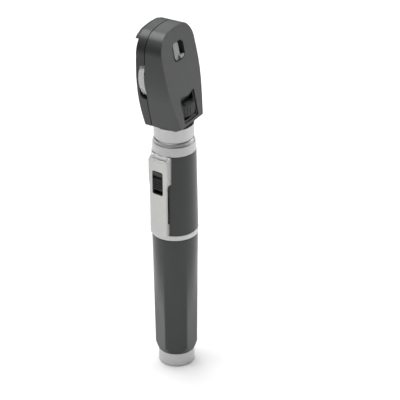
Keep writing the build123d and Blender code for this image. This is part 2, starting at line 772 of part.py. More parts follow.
save("red_free_filter", rod(opening_radius - seat_gap, disc_top, dial_high - 0.1, x, y))
dial_axle = rod(dial_bore - run_gap, shelf_bottom, dial_high + 0.9, y=dial_y)
dial_axle += rod(1.8, dial_high + 0.2, dial_high + 0.9, y=dial_y)
save("dial_axle", dial_axle)
dial_detent = block(-5.0, -1.6, dial_y - 0.8, dial_y + 0.8, shelf_top, shelf_top + 0.25)
dial_detent += block(-5.0, -4.2, dial_y - 0.8, dial_y + 0.8, shelf_top + 0.25, shelf_top + 0.5)
save("dial_detent", dial_detent)
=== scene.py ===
import math

import bmesh
import bpy
from mathutils import Matrix, Vector


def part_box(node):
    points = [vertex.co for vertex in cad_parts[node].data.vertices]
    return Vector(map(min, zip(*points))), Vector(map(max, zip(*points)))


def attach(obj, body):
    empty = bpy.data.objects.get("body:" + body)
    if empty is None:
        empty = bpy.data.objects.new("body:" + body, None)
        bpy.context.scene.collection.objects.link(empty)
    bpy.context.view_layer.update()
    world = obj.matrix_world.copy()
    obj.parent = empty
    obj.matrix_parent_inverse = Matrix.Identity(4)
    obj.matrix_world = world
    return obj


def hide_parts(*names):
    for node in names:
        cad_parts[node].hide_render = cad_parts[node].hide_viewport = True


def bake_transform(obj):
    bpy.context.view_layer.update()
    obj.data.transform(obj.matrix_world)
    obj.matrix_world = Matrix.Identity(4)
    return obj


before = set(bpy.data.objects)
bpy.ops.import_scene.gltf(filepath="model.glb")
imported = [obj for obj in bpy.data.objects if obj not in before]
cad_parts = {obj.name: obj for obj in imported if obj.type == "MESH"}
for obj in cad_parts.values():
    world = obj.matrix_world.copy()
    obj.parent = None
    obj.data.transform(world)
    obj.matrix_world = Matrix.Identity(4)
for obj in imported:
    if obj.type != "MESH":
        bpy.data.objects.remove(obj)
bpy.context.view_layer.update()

mm = 0.001

# ---- heights and radii of the parts in the frame, in millimetres -----------------------------------


def low_high(node, axis):
    low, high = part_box(node)
    return low[axis] / mm, high[axis] / mm


cap_low, cap_high = low_high("end_cap", 2)
grip_low, grip_high = low_high("grip", 2)
ring_low, ring_high = low_high("trim_ring", 2)
sleeve_low, sleeve_high = low_high("upper_sleeve", 2)
collar_low, collar_high = low_high("collar", 2)
plug_low, spigot_high = low_high("neck", 2)
head_low, head_high = low_high("front_shell", 2)
cap_radius = low_high("end_cap", 0)[1]
ring_radius = low_high("trim_ring", 0)[1]
sleeve_radius = low_high("upper_sleeve", 0)[1]
neck_radius = low_high("neck", 0)[1]
seam_y, rear_y = low_high("rear_shell", 1)
wheel_front, wheel_back = low_high("lens_wheel", 1)
wheel_radius = low_high("lens_wheel", 0)[1]
wheel_z = sum(low_high("lens_wheel", 2)) / 2
lens_circle = 11.9
sight_z = wheel_z + lens_circle
window_z = head_low + 37.3
dial_low, dial_high = low_high("aperture_dial", 2)
dial_y = sum(low_high("dial_axle", 1)) / 2
face_lean = 0.2011
face_middle_y = -5.9
face_middle_z = head_low + 24.0
face_foot = face_middle_y - face_lean * face_middle_z
shell_wall = 1.5
clip_turn = math.radians(-7.0)


def face_y(z):
    """Where the sloping front of the head is at height z."""
    return face_lean * z + face_foot


# ---- modelling helpers -----------------------------------------------------------------------------


def deselect():
    if bpy.context.mode != "OBJECT":
        bpy.ops.object.mode_set(mode="OBJECT")
    bpy.ops.object.select_all(action="DESELECT")


def take(piece):
    deselect()
    piece.select_set(True)
    bpy.context.view_layer.objects.active = piece


def edit(piece, kind="FACE"):
    take(piece)
    bpy.ops.object.mode_set(mode="EDIT")
    bpy.ops.mesh.select_mode(type=kind)
    bpy.ops.mesh.select_all(action="DESELECT")


def pick(test):
    """Adds to the selection what passes the test.

    Faces are tested by middle and normal, edges by their two ends, points by place.
    """
    mesh = bmesh.from_edit_mesh(bpy.context.object.data)
    face_mode = bpy.context.tool_settings.mesh_select_mode[2]
    edge_mode = bpy.context.tool_settings.mesh_select_mode[1]
    if face_mode:
        for face in mesh.faces:
            if test(face.calc_center_median() / mm, face.normal):
                face.select_set(True)
    elif edge_mode:
        for edge in mesh.edges:
            if test(edge.verts[0].co / mm, edge.verts[1].co / mm):
                edge.select_set(True)
    else:
        for vert in mesh.verts:
            if test(vert.co / mm):
                vert.select_set(True)
    bmesh.update_edit_mesh(bpy.context.object.data)


def seen(name):
    """The primitive just added, named, with its place in its mesh."""
    piece = bpy.context.object
    piece.name = name
    bpy.ops.object.transform_apply(location=True, rotation=True, scale=True)
    return piece


def round_bar(name, radius, depth, place, sides, upright=False):
    """A cylinder with its middle at the place, lying front to back unless it is upright."""
    deselect()
    bpy.ops.mesh.primitive_cylinder_add(
        vertices=sides,
        radius=radius * mm,
        depth=depth * mm,
        location=[part * mm for part in place],
        rotation=(0, 0, 0) if upright else (math.pi / 2, 0, 0),
    )
    return seen(name)


def line(name, points):
    """A chain of edges through the points, still in edit mode and all selected."""
    deselect()
    bpy.ops.mesh.primitive_plane_add(size=mm, location=Vector(points[0]) * mm)
    piece = seen(name)
    bpy.ops.object.mode_set(mode="EDIT")
    bpy.ops.mesh.select_mode(type="VERT")
    bpy.ops.mesh.select_all(action="SELECT")
    bpy.ops.mesh.merge(type="CENTER")
    last = Vector(points[0])
    for point in points[1:]:
        step = (Vector(point) - last) * mm
        bpy.ops.mesh.extrude_region_move(TRANSFORM_OT_translate={"value": step})
        last = Vector(point)
    bpy.ops.mesh.select_all(action="SELECT")
    return piece


def rounded(corners, closed=True, arc_step=9.0):
    """An outline of (a, b, radius) corners, each corner with a radius turned into an arc."""
    outline = []
    for place, (a, b, radius) in enumerate(corners):
        here = Vector((a, b))
        end = not closed and place in (0, len(corners) - 1)
        if radius == 0 or end:
            outline.append(here)
            continue
        back = (Vector(corners[place - 1][:2]) - here).normalized()
        ahead = (Vector(corners[(place + 1) % len(corners)][:2]) - here).normalized()
        turn = math.pi - back.angle(ahead)
        centre = here + (back + ahead).normalized() * (radius / math.cos(turn / 2))
        start = here + back * (radius * math.tan(turn / 2)) - centre
        side = 1 if ahead.x * back.y - ahead.y * back.x > 0 else -1
        steps = max(2, math.ceil(math.degrees(turn) / arc_step))
        for step in range(steps + 1):
            angle = side * turn * step / steps
            c, s = math.cos(angle), math.sin(angle)
            outline.append(centre + Vector((start.x * c - start.y * s, start.x * s + start.y * c)))
    return outline


def turned(name, corners, steps=128, closed=True):
    """A half section of (radius, height, rounding) corners, spun about the upright axis."""
    section = rounded(corners, closed)
    if closed:
        section.append(section[0])
    piece = line(name, [(p.x, 0, p.y) for p in section])
    bpy.ops.mesh.spin(
        steps=steps, angle=2 * math.pi, center=(0, 0, 0), axis=(0, 0, 1)
    )
    bpy.ops.mesh.select_all(action="SELECT")
    bpy.ops.mesh.remove_doubles(threshold=2e-6)
    bpy.ops.mesh.normals_make_consistent(inside=False)
    bpy.ops.object.mode_set(mode="OBJECT")
    return piece


def plate(name, outline, plane, start, depth):
    """A flat outline given thickness. plane says what the outline's two numbers are, xz or yz."""
    place = {
        "xz": lambda p: (p.x, start, p.y),
        "yz": lambda p: (start, p.x, p.y),
    }[plane]
    along = {"xz": Vector((0, 1, 0)), "yz": Vector((1, 0, 0))}
    piece = line(name, [place(Vector(p[:2])) for p in outline])
    bpy.ops.mesh.edge_face_add()
    bpy.ops.mesh.extrude_region_move(
        TRANSFORM_OT_translate={"value": along[plane] * depth * mm}
    )
    bpy.ops.mesh.select_all(action="SELECT")
    bpy.ops.mesh.normals_make_consistent(inside=False)
    bpy.ops.object.mode_set(mode="OBJECT")
    return piece


def slice_off(piece, point, normal):
    """Cuts the piece with a plane and takes away the side that the normal points to."""
    edit(piece)
    bpy.ops.mesh.select_all(action="SELECT")
    bpy.ops.mesh.bisect(
        plane_co=Vector(point) * mm,
        plane_no=Vector(normal).normalized(),
        use_fill=True,
        clear_outer=True,
    )
    bpy.ops.object.mode_set(mode="OBJECT")


def score(piece, point, normal):
    """Adds a row of points where a plane crosses the piece."""
    edit(piece)
    bpy.ops.mesh.select_all(action="SELECT")
    bpy.ops.mesh.bisect(plane_co=Vector(point) * mm, plane_no=Vector(normal).normalized())
    bpy.ops.object.mode_set(mode="OBJECT")


def combine(piece, other, operation="DIFFERENCE"):
    """Cuts the other piece away from this one, joins it, or keeps what they share."""
    take(piece)
    step = piece.modifiers.new("cut", "BOOLEAN")
    step.operation = operation
    step.object = other
    step.solver = "EXACT"
    bpy.ops.object.modifier_apply(modifier=step.name)
    bpy.data.objects.remove(other)
    return piece


def soften(piece, width, segments=2, angle=35):
    """Takes the sharpness off a piece's edges."""
    take(piece)
    step = piece.modifiers.new("edges", "BEVEL")
    step.width = width * mm
    step.segments = segments
    step.limit_method = "ANGLE"
    step.angle_limit = math.radians(angle)
    bpy.ops.object.modifier_apply(modifier=step.name)


def bevel_picked(width, segments=3, profile=0.5):
    bpy.ops.mesh.bevel(
        offset=width * mm, segments=segments, profile=profile, affect="EDGES", clamp_overlap=True
    )


def swing(piece, angle):
    """Turns the whole piece about an upright line."""
    take(piece)
    piece.rotation_euler = (0, 0, angle)
    bpy.ops.object.transform_apply(location=True, rotation=True, scale=True)


def finished(piece, body, finish, *nodes, slot, angle=32):
    """Shades a piece, gives it its finish, and sets it on its body in place of CAD nodes."""
    take(piece)
    bpy.ops.object.transform_apply(location=True, rotation=True, scale=True)
    bpy.ops.object.shade_smooth_by_angle(angle=math.radians(angle))
    step = piece.modifiers.new("even", "WEIGHTED_NORMAL")
    step.keep_sharp = True
    step.weight = 60
    bpy.ops.object.modifier_apply(modifier=step.name)
    piece.data.materials.clear()
    piece.data.materials.append(finish)
    if body:
        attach(piece, body)
    if nodes:
        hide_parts(*nodes)


# ---- finishes --------------------------------------------------------------------------------------


class Field:
    """A number that changes over a surface. Arithmetic on it adds Math nodes."""

    def __init__(self, finish, socket):
        self.finish = finish
        self.socket = socket

    def _math(self, operation, *values):
        return self.finish.node("ShaderNodeMath", {"operation": operation}, dict(enumerate(values)))

    def __add__(self, other):
        return self._math("ADD", self, other)

    __radd__ = __add__

    def __mul__(self, other):
        return self._math("MULTIPLY", self, other)

    def __sub__(self, other):
        return self._math("SUBTRACT", self, other)

    def clamp(self, low, high):
        return self._math("MINIMUM", self._math("MAXIMUM", self, low), high)


class Finish:
    """A material built from nodes, with the surface's shader ready to take values."""

    def __init__(self, name):
        self.material = bpy.data.materials.new(name)
        self.material.use_nodes = True
        self.tree = self.material.node_tree
        self.shader = self.tree.nodes["Principled BSDF"]
        self.place = self.node("ShaderNodeTexCoord", {}, {}, "Object")

    def node(self, kind, settings, values, output=0):
        made = self.tree.nodes.new(kind)
        for key, value in settings.items():
            if key == "stops":
                ramp = made.color_ramp
                while len(ramp.elements) < len(value):
                    ramp.elements.new(0.5)
                for element, (position, colour) in zip(ramp.elements, value):
                    element.position = position
                    element.color = (*colour, 1)
            else:
                setattr(made, key, value)
        for key, value in values.items():
            self.put(made.inputs[key], value)
        return Field(self, made.outputs[output])

    def put(self, socket, value):
        if isinstance(value, Field):
            self.tree.links.new(value.socket, socket)
        elif hasattr(value, "__len__") and len(value) == 3 and len(socket.default_value) == 4:
            socket.default_value = (*value, 1)
        else:
            socket.default_value = value

    def set(self, **values):
        for key, value in values.items():
            self.put(self.shader.inputs[key.replace("_", " ")], value)
        return self

    def noise(self, scale, detail=3.0, roughness=0.5, place=None):
        return self.node(
            "ShaderNodeTexNoise",
            {},
            {"Vector": place or self.place, "Scale": scale, "Detail": detail, "Roughness": roughness},
            "Fac",
        )

    def stretched(self, x, y, z):
        return self.node("ShaderNodeMapping", {}, {"Vector": self.place, "Scale": (x, y, z)})

    def blend(self, share, first, second):
        return self.node(
            "ShaderNodeMix", {"data_type": "RGBA"}, {0: share, 6: first, 7: second}, 2
        )

    def bump(self, height, distance):
        relief = self.node(
            "ShaderNodeBump", {}, {"Height": height, "Distance": distance, "Strength": 1.0}
        )
        self.put(self.shader.inputs["Normal"], relief)
        return self


def tone(level, tint=(1, 1, 1)):
    return tuple(level * part for part in tint)


def moulded_plastic(name, level, rough, grain, depth, tint=(1, 1, 1), scuffs=0.35):
    """Moulded plastic: fine spark grain, slightly uneven tone, faint polish where hands rub."""
    finish = Finish(name)
    cells = finish.noise(1 / grain, 2.0, 0.6)
    cloud = finish.noise(90, 3.0, 0.55)
    rub = finish.noise(260, 4.0, 0.65)
    worn = ((rub - 0.5) * 3.0).clamp(0, 1) * scuffs
    finish.set(
        Base_Color=finish.blend(
            (cloud * 0.7 + cells * 0.3).clamp(0, 1),
            tone(level * 0.84, tint),
            tone(level * 1.16, tint),
        ),
        Roughness=(rough + (cells - 0.5) * 0.12 - worn * 0.16).clamp(0.08, 1),
        Specular_IOR_Level=0.5,
    )
    return finish.bump(cells, depth).material


def satin_metal(name, level, rough, tint=(1, 1, 1)):
    """Blasted and lacquered aluminium: a fine sparkle, soft mottling and handling marks."""
    grain, depth = 0.00011, 0.000006
    finish = Finish(name)
    sparkle = finish.noise(1 / grain, 2.0, 0.7)
    cloud = finish.noise(70, 4.0, 0.6)
    marks = finish.noise(210, 5.0, 0.7, finish.stretched(1, 1, 0.25))
    smear = ((marks - 0.52) * 4.0).clamp(0, 1)
    patches = finish.noise(420, 4.0, 0.7)
    finish.set(
        Base_Color=finish.blend(
            (cloud * 0.4 + sparkle * 0.3 + patches * 0.3).clamp(0, 1),
            tone(level * 0.8, tint),
            tone(level * 1.2, tint),
        ),
        Roughness=(rough + (sparkle - 0.5) * 0.14 + smear * 0.07).clamp(0.08, 1),
        Metallic=0.85,
    )
    return finish.bump(sparkle, depth).material


def turned_metal(name, level, rough, tint=(1, 1, 1)):
    """Bare turned metal: rings left by the tool, with tarnish in patches."""
    pitch, depth = 0.00012, 0.000004
    finish = Finish(name)
    rings = finish.noise(1 / pitch, 1.0, 0.5, finish.stretched(0.02, 0.02, 1))
    stain = finish.noise(160, 4.0, 0.6)
    finish.set(
        Base_Color=finish.blend(stain, tone(level * 0.86, tint), tone(level * 1.08, tint)),
        Roughness=(rough + (rings - 0.5) * 0.16 + (stain - 0.5) * 0.18).clamp(0.06, 1),
        Metallic=1.0,
    )
    return finish.bump(rings, depth).material


def soft_rubber(name, level):
    finish = Finish(name)
    grain = finish.noise(4200, 3.0, 0.7)
    dust = finish.noise(380, 5.0, 0.7)
    finish.set(
        Base_Color=finish.blend(
            (dust - 0.35).clamp(0, 1), tone(level, (0.92, 0.97, 1.1)), tone(level * 1.9)
        ),
        Roughness=(0.62 + (grain - 0.5) * 0.2 + (dust - 0.5) * 0.15).clamp(0.2, 1),
        Specular_IOR_Level=0.5,
    )
    return finish.bump(grain, 0.00003).material


def clear_pane(name, tint, film):
    """A thin clear pane: mostly see-through, with its surface gloss and a trace of dust."""
    finish = Finish(name)
    dust = finish.noise(900, 4.0, 0.7)
    finish.set(
        Base_Color=tint,
        Roughness=(0.03 + (dust - 0.5) * 0.05).clamp(0.01, 1),
        Alpha=(film + (dust - 0.5) * 0.06).clamp(0.02, 1),
        Specular_IOR_Level=0.8,
    )
    return finish.material


def solid_glass(name, tint):
    finish = Finish(name)
    haze = finish.noise(700, 3.0, 0.6)
    finish.set(
        Base_Color=finish.blend(haze, tone(0.97, tint), tint),
        Roughness=(0.02 + (haze - 0.5) * 0.02).clamp(0, 1),
        Transmission_Weight=1.0,
        IOR=1.5,
    )
    return finish.material


def cell_sleeve(name):
    """The printed film on a cell: dark, with a copper-coloured end and slight wrinkles."""
    finish = Finish(name)
    height = finish.node("ShaderNodeSeparateXYZ", {}, {"Vector": finish.place}, 2)
    cloud = finish.noise(300, 3.0, 0.6)
    stack_foot, cell_length = 0.0057, 0.0505
    per_cell = finish.node(
        "ShaderNodeMath", {"operation": "PINGPONG"}, {0: height - stack_foot, 1: cell_length}
    )
    copper = ((per_cell - 0.036) * 4000).clamp(0, 1)
    film = finish.blend(cloud, (0.035, 0.04, 0.05), (0.06, 0.065, 0.075))
    finish.set(
        Base_Color=finish.blend(copper, film, (0.42, 0.2, 0.09)),
        Roughness=(0.3 + (cloud - 0.5) * 0.15).clamp(0.05, 1),
        Metallic=0.35,
    )
    return finish.bump(cloud, 0.00001).material


def pale_painted_light(name, level):
    """A pale, glossy pane: its light tone is painted light, a painted reflection of the window's
    mirror and a painted highlight on the ledge below it.
    """
    finish = Finish(name)
    haze = finish.noise(900, 4.0, 0.6)
    finish.set(
        Base_Color=finish.blend(haze, tone(level * 0.85), tone(level * 1.1)),
        Roughness=(0.16 + (haze - 0.5) * 0.1).clamp(0.02, 1),
        Specular_IOR_Level=0.5,
    )
    return finish.bump(haze, 0.000004).material


silver = satin_metal("satin_silver", 0.5, 0.34)
clip_silver = satin_metal("clip_silver", 0.5, 0.34, (1.0, 0.995, 0.98))
grip_plastic = moulded_plastic("grip_plastic", 0.03, 0.33, 0.00022, 0.000008, (0.94, 1.0, 1.05))
shell_plastic = moulded_plastic("shell_plastic", 0.042, 0.38, 0.00024, 0.00001, (0.97, 1.0, 1.02))
# the shell plastic again, made darker: painted shade on the rear shell
rear_plastic_painted_shade = moulded_plastic("rear_plastic_painted_shade", 0.03, 0.38, 0.00024, 0.00001, (0.95, 1.0, 1.05))
black_plastic = moulded_plastic("black_plastic", 0.018, 0.34, 0.0002, 0.000006)
wheel_plastic = moulded_plastic("wheel_plastic", 0.72, 0.4, 0.0003, 0.000006, scuffs=0.1)
rubber = soft_rubber("rest_rubber", 0.02)
steel = turned_metal("plain_steel", 0.58, 0.3)
inner_metal = turned_metal("inner_aluminium", 0.62, 0.4)
brass = turned_metal("contact_brass", 0.7, 0.28, (1.0, 0.82, 0.48))
pane = clear_pane("clear_pane", (0.6, 0.63, 0.66), 0.14)
lens_glass = solid_glass("lens_glass", (0.96, 0.98, 0.98))
filter_glass = solid_glass("filter_glass", (0.2, 0.75, 0.3))
cell_film = cell_sleeve("cell_film")
# pale colour: painted reflection in the window's mirror and painted highlight on its lit ledge
painted_light_finish = pale_painted_light("window_painted_light", 0.32)

node_finishes = {
    "battery_tube": inner_metal,
    "battery_spring": steel,
    "lower_cell": cell_film,
    "upper_cell": cell_film,
    "chassis_tube": inner_metal,
    "switch_base": black_plastic,
    "switch_contact": brass,
    "switch_strips": brass,
    "cell_contact": brass,
    "contact_insulator": black_plastic,
    "contact_pin": brass,
    "contact_spring": steel,
    "coupling_spring": steel,
    "lamp_base": brass,
    "lamp_bulb": lens_glass,
    "condenser_lens": lens_glass,
    "objective_lens": lens_glass,
    "optics_barrel": inner_metal,
    "prism": lens_glass,
    "prism_holder": black_plastic,
    "wheel_axle": steel,
    "wheel_detent": steel,
    "dial_axle": steel,
    "dial_detent": steel,
    "dioptre_lenses": lens_glass,
    "dioptre_scale": wheel_plastic,
    "dioptre_window": pane,
    "rear_window": pane,
    "shell_screws": steel,
    "aperture_disc": inner_metal,
    "red_free_filter": filter_glass,
}
for node, finish in node_finishes.items():
    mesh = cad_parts[node].data
    mesh.materials.clear()
    mesh.materials.append(finish)

# ---- lower handle ----------------------------------------------------------------------------------


def make_end_cap():
    cap = turned(
        "end_cap_shell",
        [
            (0, cap_low, 0),
            (cap_radius, cap_low, 0.55),
            (cap_radius, cap_high, 0.12),
            (8.05, cap_high, 0),
            (8.05, cap_low + 1.65, 0),
            (0, cap_low + 1.65, 0),
        ],
        closed=False,
    )
    finished(cap, "lower_handle", silver, "end_cap", slot="satin_silver")


def grip_radius(z):
    """The distance of the grip's rounded corners from its middle, at height z."""
    return 10.12 + 1.05 * ((z - grip_low) / (grip_high - grip_low)) ** 1.25


def make_grip():
    flat, corner = 9.05, 2.0
    deselect()
    bpy.ops.mesh.primitive_circle_add(
        vertices=6,
        radius=flat / math.cos(math.pi / 6) * mm,
        fill_type="NGON",
        location=(0, 0, grip_low * mm),
        rotation=(0, 0, math.pi / 2),
    )
    grip = seen("handle_grip")
    edit(grip, "VERT")
    bpy.ops.mesh.select_all(action="SELECT")
    reach = corner * math.tan(math.pi / 6)
    bpy.ops.mesh.bevel(offset=reach * mm, segments=6, affect="VERTICES", offset_type="WIDTH")
    bpy.ops.mesh.select_mode(type="EDGE")
    bpy.ops.mesh.select_all(action="DESELECT")
    pick(lambda a, b: (a - b).length > 3)
    bpy.ops.mesh.subdivide(number_cuts=11)
    bpy.ops.mesh.select_mode(type="FACE")
    bpy.ops.mesh.select_all(action="SELECT")
    rows = 64
    rise = (grip_high - grip_low) / rows
    for row in range(rows):
        bpy.ops.mesh.extrude_region_move(TRANSFORM_OT_translate={"value": (0, 0, rise * mm)})
    bpy.ops.mesh.select_all(action="SELECT")
    bpy.ops.mesh.normals_make_consistent(inside=False)
    bpy.ops.object.mode_set(mode="OBJECT")
    # the flats run out into a round grip towards the top
    corner_reach = flat / math.cos(math.pi / 6) - corner * (1 / math.cos(math.pi / 6) - 1)
    share = grip.vertex_groups.new(name="round")
    for vert in grip.data.vertices:
        part = min(max((vert.co.z / mm - 24.0) / (66.0 - 24.0), 0), 1)
        share.add([vert.index], part * part * (3 - 2 * part), "REPLACE")
    take(grip)
    cast = grip.modifiers.new("round", "CAST")
    cast.cast_type = "CYLINDER"
    cast.use_z = False
    cast.factor = 1.0
    cast.size = corner_reach * mm
    cast.use_radius_as_size = False
    cast.vertex_group = "round"
    bpy.ops.object.modifier_apply(modifier=cast.name)
    edit(grip, "VERT")
    for row in range(rows + 1):
        z = grip_low + row * rise
        bpy.ops.mesh.select_all(action="DESELECT")
        pick(lambda p: abs(p.z - z) < rise / 3)
        size = grip_radius(z) / corner_reach
        bpy.ops.transform.resize(
            value=(size, size, 1), center_override=(0, 0, z * mm), use_proportional_edit=False
        )
    bpy.ops.object.mode_set(mode="OBJECT")
    foot = turned(
        "grip_foot",
        [
            (0, grip_low - 0.01, 0),
            (cap_radius + 0.08, grip_low - 0.01, 0.25),
            (10.35, grip_low + 3.4, 3.5),
            (13.0, grip_low + 16.0, 0),
            (13.0, grip_high + 1, 0),
            (0, grip_high + 1, 0),
        ],
        closed=False,
    )
    combine(grip, foot, "INTERSECT")
    bore = turned(
        "grip_bore",
        [
            (0, grip_low - 1, 0),
            (8.01, grip_low - 1, 0),
            (8.01, grip_high - 9.98, 0),
            (9.0, grip_high - 9.98, 0),
            (9.0, grip_high + 1, 0),
            (0, grip_high + 1, 0),
        ],
        steps=64,
        closed=False,
    )
    combine(grip, bore)
    edit(grip, "EDGE")
    pick(lambda a, b: min(a.z, b.z) > grip_high - 0.01 and a.xy.length > 10 and b.xy.length > 10)
    bevel_picked(0.2, 2)
    finished(grip, "lower_handle", grip_plastic, "grip", slot="grip_grey", angle=40)


# ---- upper handle ----------------------------------------------------------------------------------


def make_ring():
    ring = turned(
        "trim_ring_band",
        [
            (9.2, ring_low, 0),
            (ring_radius, ring_low, 0.3),
            (ring_radius, ring_high, 0.3),
            (9.2, ring_high, 0),
        ],
    )
    finished(ring, "upper_handle", silver, "trim_ring", slot="satin_silver")


def clip_box(name, x0, x1, half_width, z0, z1):
    """A block in the clip's own place, on the -X side."""
    deselect()
    bpy.ops.mesh.primitive_cube_add(
        size=mm,
        location=((x0 + x1) / 2 * mm, 0, (z0 + z1) / 2 * mm),
        scale=(x1 - x0, 2 * half_width, z1 - z0),
    )
    return seen(name)


def make_sleeve():
    top_radius = 10.75
    sleeve = turned(
        "handle_sleeve",
        [
            (9.2, sleeve_low, 0),
            (sleeve_radius, sleeve_low, 0.15),
            (top_radius, sleeve_high, 0.15),
            (9.2, sleeve_high, 0),
        ],
    )
    seat = clip_box("clip_seat", -14, -4, 5.52, 102.98, sleeve_high + 1)
    swing(seat, clip_turn)
    combine(sleeve, seat)
    well = clip_box("switch_well", -14, -4, 4.42, 96.05, sleeve_high + 1)
    swing(well, clip_turn)
    combine(sleeve, well)
    finished(sleeve, "upper_handle", grip_plastic, "upper_sleeve", slot="grip_grey")


def make_clip():
    foot_z, arm_half, block_half = 75.6, 4.9, 5.5
    front, back = -13.1, -11.7
    outline = rounded(
        [
            (-arm_half, foot_z, 0.4),
            (arm_half, foot_z, 0.4),
            (arm_half, 100.6, 3),
            (block_half, 104.2, 3),
            (block_half, sleeve_high, 0.3),
            (-block_half, sleeve_high, 0.3),
            (-block_half, 104.2, 3),
            (-arm_half, 100.6, 3),
        ]
    )
    clip = plate("pocket_clip", outline, "yz", front, back - front)
    slot_outline = rounded(
        [(-3.1, 97.3, 0.9), (3.1, 97.3, 0.9), (3.1, 109.7, 0.9), (-3.1, 109.7, 0.9)]
    )
    combine(clip, plate("clip_slot", slot_outline, "yz", -15, 5))
    foot = clip_box("clip_foot", back - 0.5, -9.5, arm_half - 0.03, foot_z + 0.02, foot_z + 6.4)
    edit(foot, "EDGE")
    pick(lambda a, b: min(a.z, b.z) > foot_z + 6 and min(a.x, b.x) > -10)
    bevel_picked(1.0, 4)
    bpy.ops.object.mode_set(mode="OBJECT")
    cheeks = []
    for side in (-1, 1):
        cheek = clip_box("clip_cheek", back - 0.5, -8.6, (block_half - 4.42) / 2, 103.0, sleeve_high)
        cheek.location.y = side * (block_half + 4.42) / 2 * mm
        take(cheek)
        bpy.ops.object.transform_apply(location=True, rotation=True, scale=True)
        cheeks.append(cheek)
    bridge = clip_box("clip_bridge", back - 0.4, -8.6, 4.6, 112.07, sleeve_high - 0.02)
    for part in (clip, bridge, *cheeks):
        slice_off(part, (front, 0, sleeve_high - 2.6), (-1, 0, 1))
    edit(clip, "EDGE")
    pick(
        lambda a, b: abs(a.x - front) < 0.01
        and abs(b.x - front) < 0.01
        and min(abs(a.y), abs(b.y)) > 4.2
        and a.y * b.y > 0
    )
    bevel_picked(0.8, 3, 0.6)
    bpy.ops.object.mode_set(mode="OBJECT")
    for part in (foot, bridge, *cheeks):
        barrel = turned(
            "barrel_space",
            [
                (0, 70, 0),
                (11.45, 70, 0),
                (11.45, 95.5, 0),
                (9.22, 95.51, 0),
                (9.22, 130, 0),
                (0, 130, 0),
            ],
            closed=False,
        )
        combine(part, barrel)
    for part in (clip, foot, bridge, *cheeks):
        soften(part, 0.16, 2, 35)
    take(clip)
    for part in (foot, bridge, *cheeks):
        part.select_set(True)
    bpy.ops.object.join()
    for z in (90, 91, 92, 93, 94, 95, 96):
        score(clip, (0, 0, z), (0, 0, 1))
    swing(clip, clip_turn)
    finished(clip, None, clip_silver, "clip_base", "clip_arm", slot="clip_silver", angle=30)
    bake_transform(clip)


def make_slider():
    low, high, face = 99.8, 109.6, -13.2
    groove_low, groove_high = 105.9, 107.4
    side = [(-10.9, low, 0), (face + 0.35, low, 0.2)]
    ribs = 6
    pitch = (groove_low - low - 0.1) / ribs
    for rib in range(ribs):
        z = low + 0.1 + rib * pitch
        side += [
            (face, z + pitch * 0.18, 0.1),
            (face, z + pitch * 0.6, 0.1),
            (face + 0.7, z + pitch * 0.68, 0.08),
            (face + 0.7, z + pitch * 0.98, 0.08),
        ]
    side += [
        (face + 1.25, groove_low, 0.1),
        (face + 1.25, groove_high - 0.1, 0.1),
        (face, groove_high + 0.1, 0.25),
        (face, high - 0.1, 0.35),
        (-10.9, high, 0),
    ]
    outline = rounded(side, arc_step=30)
    slider = plate("switch_thumb", outline, "xz", -3.0, 6.0)
    soften(slider, 0.12, 2, 50)
    flange = clip_box("thumb_flange", -11.6, -11.0, 3.55, 99.35, 111.15)
    combine(slider, flange, "UNION")
    swing(slider, clip_turn)
    finished(slider, "switch", black_plastic, "switch_slider", slot="black_plastic")


def make_collar():
    collar = turned(
        "collar_shell",
        [
            (7.6, collar_low, 0),
            (10.72, collar_low, 0.2),
            (10.3, collar_high - 2.0, 0.15),
            (10.14, collar_high - 1.55, 0.1),
            (9.98, collar_high - 1.55, 0.05),
            (9.7, collar_high - 0.25, 0.4),
            (9.4, collar_high, 0.1),
            (7.6, collar_high, 0.2),
        ],
    )
    finished(collar, "upper_handle", silver, "collar", slot="satin_silver")


# ---- head ------------------------------------------------------------------------------------------


def make_neck():
    bottom = collar_high + 0.3
    neck = turned(
        "head_neck",
        [
            (3.2, plug_low, 0),
            (7.5, plug_low, 0.5),
            (7.5, 115.85, 0),
            (6.8, 115.85, 0),
            (6.8, 116.55, 0),
            (7.5, 116.55, 0),
            (7.5, bottom - 0.2, 0),
            (9.3, bottom - 0.2, 0.1),
            (9.3, bottom + 0.25, 0.05),
            (neck_radius, bottom + 0.25, 0.25),
            (neck_radius, head_low + 0.05, 0.15),
            (6.5, head_low + 0.05, 0),
            (6.5, spigot_high, 0.3),
            (3.6, spigot_high, 0.1),
            (3.6, 132.1, 0),
            (3.2, 132.1, 0),
        ],
    )
    finished(neck, "head", silver, "neck", slot="satin_silver")


def head_outline(inset=0.0, arc_step=5.0):
    half = [
        (9.4 - inset, head_low + inset, 0.6),
        (15.35 - inset, head_low + 23.6, 64.0 - inset),
        (14.7 - inset, head_low + 42.2, 10.4 - inset),
        (9.75 - inset * 0.6, head_low + 48.5 - inset, 8.5 - inset),
    ]
    crown = (0, head_high - inset, 48)
    other = [(-x, z, r) for x, z, r in reversed(half)]
    return rounded(half + [crown] + other, arc_step=arc_step)


def lean_cut(piece, depth):
    slice_off(piece, (0, face_y(150) + depth, 150), (0, -1, face_lean))


def chin_cut(piece, depth):
    """The lower front edge of the head is taken back at a slant."""
    low_front = Vector((0, face_y(head_low + 2.3), head_low + 2.3))
    low_back = Vector((0, face_y(head_low) + 4.3, head_low))
    along = low_back - low_front
    out = Vector((0, along.z, -along.y)).normalized()
    slice_off(piece, low_front - out * depth, out)


def front_mouth(name, half):
    """The opening low on the front that shows the dial, with a ramp above it and a lip below."""
    top, bottom = head_low + 16.7, head_low + 3.5
    throat_top, throat_low = dial_high + 0.25, dial_low - 0.9
    side = [
        (face_y(top) - 3, top + 0.6),
        (face_y(top), top),
        (face_y(throat_top) + 2.6, throat_top),
        (face_y(throat_top) + 7.0, throat_top),
        (face_y(throat_low) + 7.0, throat_low - 0.2),
        (face_y(bottom), bottom),
        (face_y(bottom) - 4, bottom - 0.6),
    ]
    return plate(name, side, "yz", -half, 2 * half)


